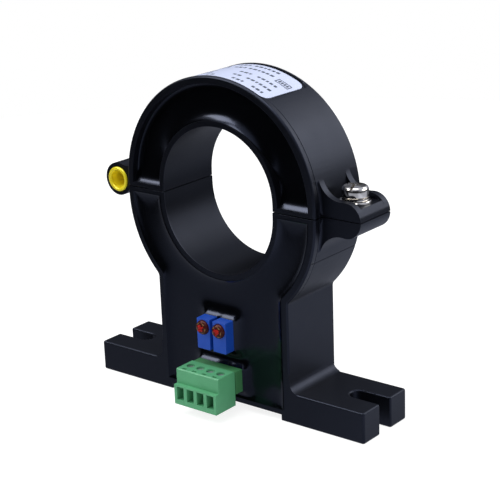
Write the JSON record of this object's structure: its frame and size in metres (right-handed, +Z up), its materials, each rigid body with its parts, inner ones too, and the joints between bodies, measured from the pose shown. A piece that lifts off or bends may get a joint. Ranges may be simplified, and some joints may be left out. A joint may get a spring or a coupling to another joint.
{
  "type": "hall effect current sensor",
  "caption": "Split-core ring current sensor on slotted feet, with a hinged upper half, clamp screw, potted front, trimmers and a pluggable screw terminal.",
  "frame": {"origin": "centre of the conductor window, on the parting plane and at mid depth", "axes": "+Z up through the crown, +X towards the clamp screw, +Y along the window's axis towards the back"},
  "size_m": [0.1006, 0.036, 0.0999],
  "materials": {
    "housing_black": "satin moulded, blue-black",
    "potting_black": "glossy cast compound",
    "core_steel": "laminated, varnished",
    "label_film": "smooth film",
    "rivet_brass": "bright, stamped",
    "nickel_plate": "nickel plated",
    "insert_brass": "turned",
    "board_green": "solder mask",
    "chip_black": "moulded",
    "lead_strip": "polyimide film",
    "tinned_pin": "tinned",
    "terminal_green": "moulded",
    "trimmer_blue": "moulded",
    "trimmer_brass": "varnished",
    "zinc_plate": "zinc plated"
  },
  "bodies": {
    "base": {"lower_housing": "housing_black", "lower_potting": "potting_black", "lower_core": "core_steel", "hinge_rivet": "rivet_brass", "clamp_insert": "insert_brass", "circuit_board": "board_green", "amplifier_chip": "chip_black", "hall_element_left": "chip_black", "hall_element_right": "chip_black", "hall_leads_left": "lead_strip", "hall_leads_right": "lead_strip", "trimmer_pins": "tinned_pin", "terminal_header": "terminal_green", "terminal_pins": "tinned_pin", "zero_trimmer": "trimmer_blue", "span_trimmer": "trimmer_blue"},
    "upper_half": {"upper_housing": "housing_black", "upper_potting": "potting_black", "upper_core": "core_steel", "rating_label": "label_film"},
    "clamp_washers": {"flat_washer": "nickel_plate", "spring_washer": "nickel_plate"},
    "clamp_screw": {"clamp_screw": "nickel_plate"},
    "plug": {"terminal_plug": "terminal_green", "plug_contacts": "tinned_pin"},
    "zero_screw": {"zero_screw": "trimmer_brass"},
    "span_screw": {"span_screw": "trimmer_brass"},
    "terminal_screw_1": {"terminal_screw_1": "zinc_plate"},
    "wire_cage_1": {"wire_cage_1": "zinc_plate"},
    "terminal_screw_2": {"terminal_screw_2": "zinc_plate"},
    "wire_cage_2": {"wire_cage_2": "zinc_plate"},
    "terminal_screw_3": {"terminal_screw_3": "zinc_plate"},
    "wire_cage_3": {"wire_cage_3": "zinc_plate"},
    "terminal_screw_4": {"terminal_screw_4": "zinc_plate"},
    "wire_cage_4": {"wire_cage_4": "zinc_plate"}
  },
  "joints": [
    {"name": "upper_half_swing", "type": "hinge", "parent": "base", "child": "upper_half", "pos_m": [-0.0423, 0, 0], "axis": [0, -1, 0], "range_deg": [0, 110]},
    {"name": "clamp_rise", "type": "slide", "parent": "upper_half", "child": "clamp_washers", "axis": [0, 0, 1], "range_m": [0, 0.0049]},
    {"name": "clamp_turn", "type": "hinge", "parent": "clamp_washers", "child": "clamp_screw", "pos_m": [0.0407, 0, 0], "axis": [0, 0, 1], "range_deg": [0, 2520]},
    {"name": "plug_pull", "type": "slide", "parent": "base", "child": "plug", "axis": [0, -1, 0], "range_m": [0, 0.009]},
    {"name": "zero_turn", "type": "hinge", "parent": "base", "child": "zero_screw", "pos_m": [-0.003, 0, -0.03753], "axis": [0, 1, 0], "continuous": true},
    {"name": "span_turn", "type": "hinge", "parent": "base", "child": "span_screw", "pos_m": [0.003, 0, -0.03753], "axis": [0, 1, 0], "continuous": true},
    {"name": "terminal_turn_1", "type": "hinge", "parent": "plug", "child": "terminal_screw_1", "pos_m": [-0.00571, -0.01947, -0.0495], "axis": [0, 0, -1], "range_deg": [0, 1710]},
    {"name": "cage_rise_1", "type": "slide", "parent": "plug", "child": "wire_cage_1", "axis": [0, 0, 1], "range_m": [0, 0.0019]},
    {"name": "terminal_turn_2", "type": "hinge", "parent": "plug", "child": "terminal_screw_2", "pos_m": [-0.00191, -0.01947, -0.0495], "axis": [0, 0, -1], "range_deg": [0, 1710]},
    {"name": "cage_rise_2", "type": "slide", "parent": "plug", "child": "wire_cage_2", "axis": [0, 0, 1], "range_m": [0, 0.0019]},
    {"name": "terminal_turn_3", "type": "hinge", "parent": "plug", "child": "terminal_screw_3", "pos_m": [0.00191, -0.01947, -0.0495], "axis": [0, 0, -1], "range_deg": [0, 1710]},
    {"name": "cage_rise_3", "type": "slide", "parent": "plug", "child": "wire_cage_3", "axis": [0, 0, 1], "range_m": [0, 0.0019]},
    {"name": "terminal_turn_4", "type": "hinge", "parent": "plug", "child": "terminal_screw_4", "pos_m": [0.00571, -0.01947, -0.0495], "axis": [0, 0, -1], "range_deg": [0, 1710]},
    {"name": "cage_rise_4", "type": "slide", "parent": "plug", "child": "wire_cage_4", "axis": [0, 0, 1], "range_m": [0, 0.0019]}
  ],
  "couplings": [
    {"joint": "clamp_turn", "follows": "clamp_rise", "rad_per_m": 8976},
    {"joint": "terminal_turn_1", "follows": "cage_rise_1", "rad_per_m": 15708},
    {"joint": "terminal_turn_2", "follows": "cage_rise_2", "rad_per_m": 15708},
    {"joint": "terminal_turn_3", "follows": "cage_rise_3", "rad_per_m": 15708},
    {"joint": "terminal_turn_4", "follows": "cage_rise_4", "rad_per_m": 15708}
  ]
}
